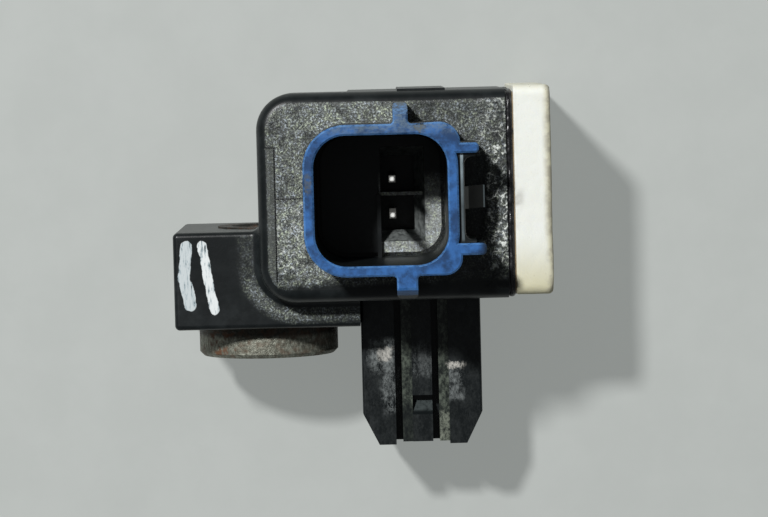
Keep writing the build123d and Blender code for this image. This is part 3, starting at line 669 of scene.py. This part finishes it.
outer_rows = [(1.0, depth, inset) for depth, inset in arc(pad_depth, -1, outer_round)]
straight = pad_depth - outer_round - inner_round
for step in range(1, side_rows):
    outer_rows.append((1.0, pad_depth - outer_round - straight * step / side_rows, 0.0))
for depth, inset in reversed(list(arc(0.0, 1, inner_round))):
    outer_rows.append((1.0, depth, inset))
back_rows = [(1 - step / face_rows, 0.0, None) for step in range(1, face_rows)]
hole_rows = [(0.0, depth, -inset) for depth, inset in arc(0.0, 1, inner_round)]
hole_straight = pad_depth - 2 * inner_round
for step in range(1, side_rows):
    hole_rows.append((0.0, inner_round + hole_straight * step / side_rows, 0.0))
for depth, inset in reversed(list(arc(pad_depth, -1, inner_round))):
    hole_rows.append((0.0, depth, -inset))
face_part = [(step / face_rows, pad_depth, None) for step in range(1, face_rows)]
section = outer_rows + back_rows + hole_rows + face_part
rows = []
for share, depth, inset in section:
    row = []
    for step in range(pad_steps):
        angle = step / pad_steps * math.tau
        outward = Vector((0, math.cos(angle), math.sin(angle)))
        near = Vector((0, cover_middle.y, cover_middle.z)) + outward * hole_radius
        reach = edge_distance(angle, pad_half.y, pad_half.z, pad_corner)
        far = Vector((0, pad_middle.y, pad_middle.z)) + outward * reach
        run = (far - near).length
        if inset is None:
            first = inner_round / run
            last = 1 - (outer_round if depth > 0 else inner_round) / run
            way = first + (last - first) * share
        else:
            way = share - inset / run
        place = near.lerp(far, way) + Vector((pad_low.x + depth, 0, 0))
        lump = noise.noise(place / skin_wave) + 0.5 * noise.noise(place / skin_ripple)
        sink = skin * (1.0 + 0.9 * lump)
        if share == 1.0:
            place -= outward * sink
        if depth > pad_depth - outer_round:
            place.x -= sink
        row.append(place)
    rows.append(row)
foam_pad = ring_of_rows("foam_pad", rows)

pad_white = (0.88, 0.90, 0.84)
pad_yellow = (0.62, 0.58, 0.36)
pad_grime = (0.26, 0.24, 0.20)
pad_brown = (0.13, 0.075, 0.035)
foam_white, point = start_material("foam_white")
x, y, z = point.split()
broad = point.cloud(5.0, 3.0, 0.55, 1.0)
medium = point.cloud(1.1, 5.0, 0.62, 2.0)
specks = point.cloud(0.30, 3.0, 0.6, 3.0)
cells = point.cloud(0.10, 2.0, 0.5, 4.0)
low_y, high_y = pad_low.y / MM, pad_high.y / MM
low_z, high_z = pad_low.z / MM, pad_high.z / MM
inside_x, outside_x = pad_low.x / MM, pad_high.x / MM
border = (y - low_y).math("MINIMUM", high_y - y)
border = border.math("MINIMUM", (z - low_z).math("MINIMUM", high_z - z))
outer_face = x.ramp(outside_x - 0.35, outside_x - 0.1)
outer_edge = x.ramp(outside_x - 1.1, outside_x - 0.2) * border.ramp(0.9, 0.2)
face_rim = outer_face * border.ramp(2.2, 0.1)
inner_edge = x.ramp(inside_x + 0.5, inside_x + 0.1)
ageing = (y.ramp(13.0, low_y) * 0.85).either(y.ramp(high_y - 0.8, high_y) * 0.4)
ageing = ageing.either(broad.ramp(0.5, 0.8) * 0.25).either(outer_edge * 0.7)
colour = blend(ageing, pad_white, pad_yellow)
wander = medium - 0.5
smudge = patch(x + wander * 1.6, y + wander * 2.5, (25.2, 25.9, 0.7), (15.8, 16.3, 1.0))
smudge = smudge * z.ramp(12.0, 13.5)
grime = (outer_edge * 0.9).either(inner_edge * 0.2).either(face_rim * 0.4)
grime = (grime * medium.ramp(0.38, 0.62)).either(smudge * 0.8 * medium.ramp(0.25, 0.6))
colour = blend(grime * 0.6, colour, pad_grime)
dirty_ends = y.ramp(9.0, low_y).either(y.ramp(high_y - 1.0, high_y)).either(outer_edge)
dots = specks.ramp(0.66, 0.72) * (0.12 + 0.8 * dirty_ends)
colour = blend(dots, colour, pad_brown)
shade(
    Base_Color=colour,
    Roughness=0.66 + 0.2 * cells,
    Normal=bump(cells, 0.02, bump(medium, 0.05)),
    Subsurface_Weight=0.12,
    Subsurface_Radius=(1.0, 0.9, 0.7),
    Subsurface_Scale=0.5 * MM,
)
foam_pad.data.materials.append(foam_white)
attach(foam_pad, "root")
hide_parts("seal_pad")


# Floor and light: pale paper under the part, one small round softbox high on the upper left,
# whose shadows are as crisp as the ones in the socket, and a weak even sky.
floor_reach = 2.0
floor_z = cad_box[0].z - 0.02 * MM
paper_dark = (0.49, 0.51, 0.49)
paper_light = (0.53, 0.55, 0.53)
glow_grey = (0.49, 0.52, 0.50)
glow_share = 0.5
floor_mesh = bpy.data.meshes.new("floor")
corner_sides = [(-1, -1), (1, -1), (1, 1), (-1, 1)]
floor_corners = [(a * floor_reach, b * floor_reach, floor_z) for a, b in corner_sides]
floor_mesh.from_pydata(floor_corners, [], [(0, 1, 2, 3)])
floor = bpy.data.objects.new("floor", floor_mesh)
bpy.context.scene.collection.objects.link(floor)
paper, point = start_material("paper")
fibres = point.cloud(6.0, 4.0, 0.6)
paper_colour = blend(fibres.ramp(0.3, 0.7), paper_dark, paper_light)
matt = Link.add("BsdfPrincipled", None, {"Base Color": paper_colour, "Roughness": 0.9})
glow = Link.add("Emission", None, {"Color": glow_grey, "Strength": 1.0})
seen = Link.add("LightPath", output="Is Camera Ray")
for ray_kind in ("Is Glossy Ray", "Is Transmission Ray"):
    seen = seen.either(Link.add("LightPath", output=ray_kind))
both = Link.add("MixShader", None, {0: seen * glow_share, 1: matt, 2: glow})
Link.add("OutputMaterial", None, {"Surface": both})
floor_mesh.materials.append(paper)

key_data = bpy.data.lights.new("key", "AREA")
key_data.shape = "DISK"
key_data.size = 0.05
key_data.energy = 3.8
key = bpy.data.objects.new("key", key_data)
bpy.context.scene.collection.objects.link(key)
towards_key = Vector((-0.43, 0.52, 1.0)).normalized()
key_distance = 0.6
key.location = camera_aim + towards_key * key_distance
key.rotation_mode = "QUATERNION"
key.rotation_quaternion = towards_key.to_track_quat("Z", "Y")

world = bpy.data.worlds.new("room")
bpy.context.scene.world = world
world.use_nodes = True
background = world.node_tree.nodes["Background"]
background.inputs["Color"].default_value = (0.93, 0.97, 1.0, 1)
background.inputs["Strength"].default_value = 0.11
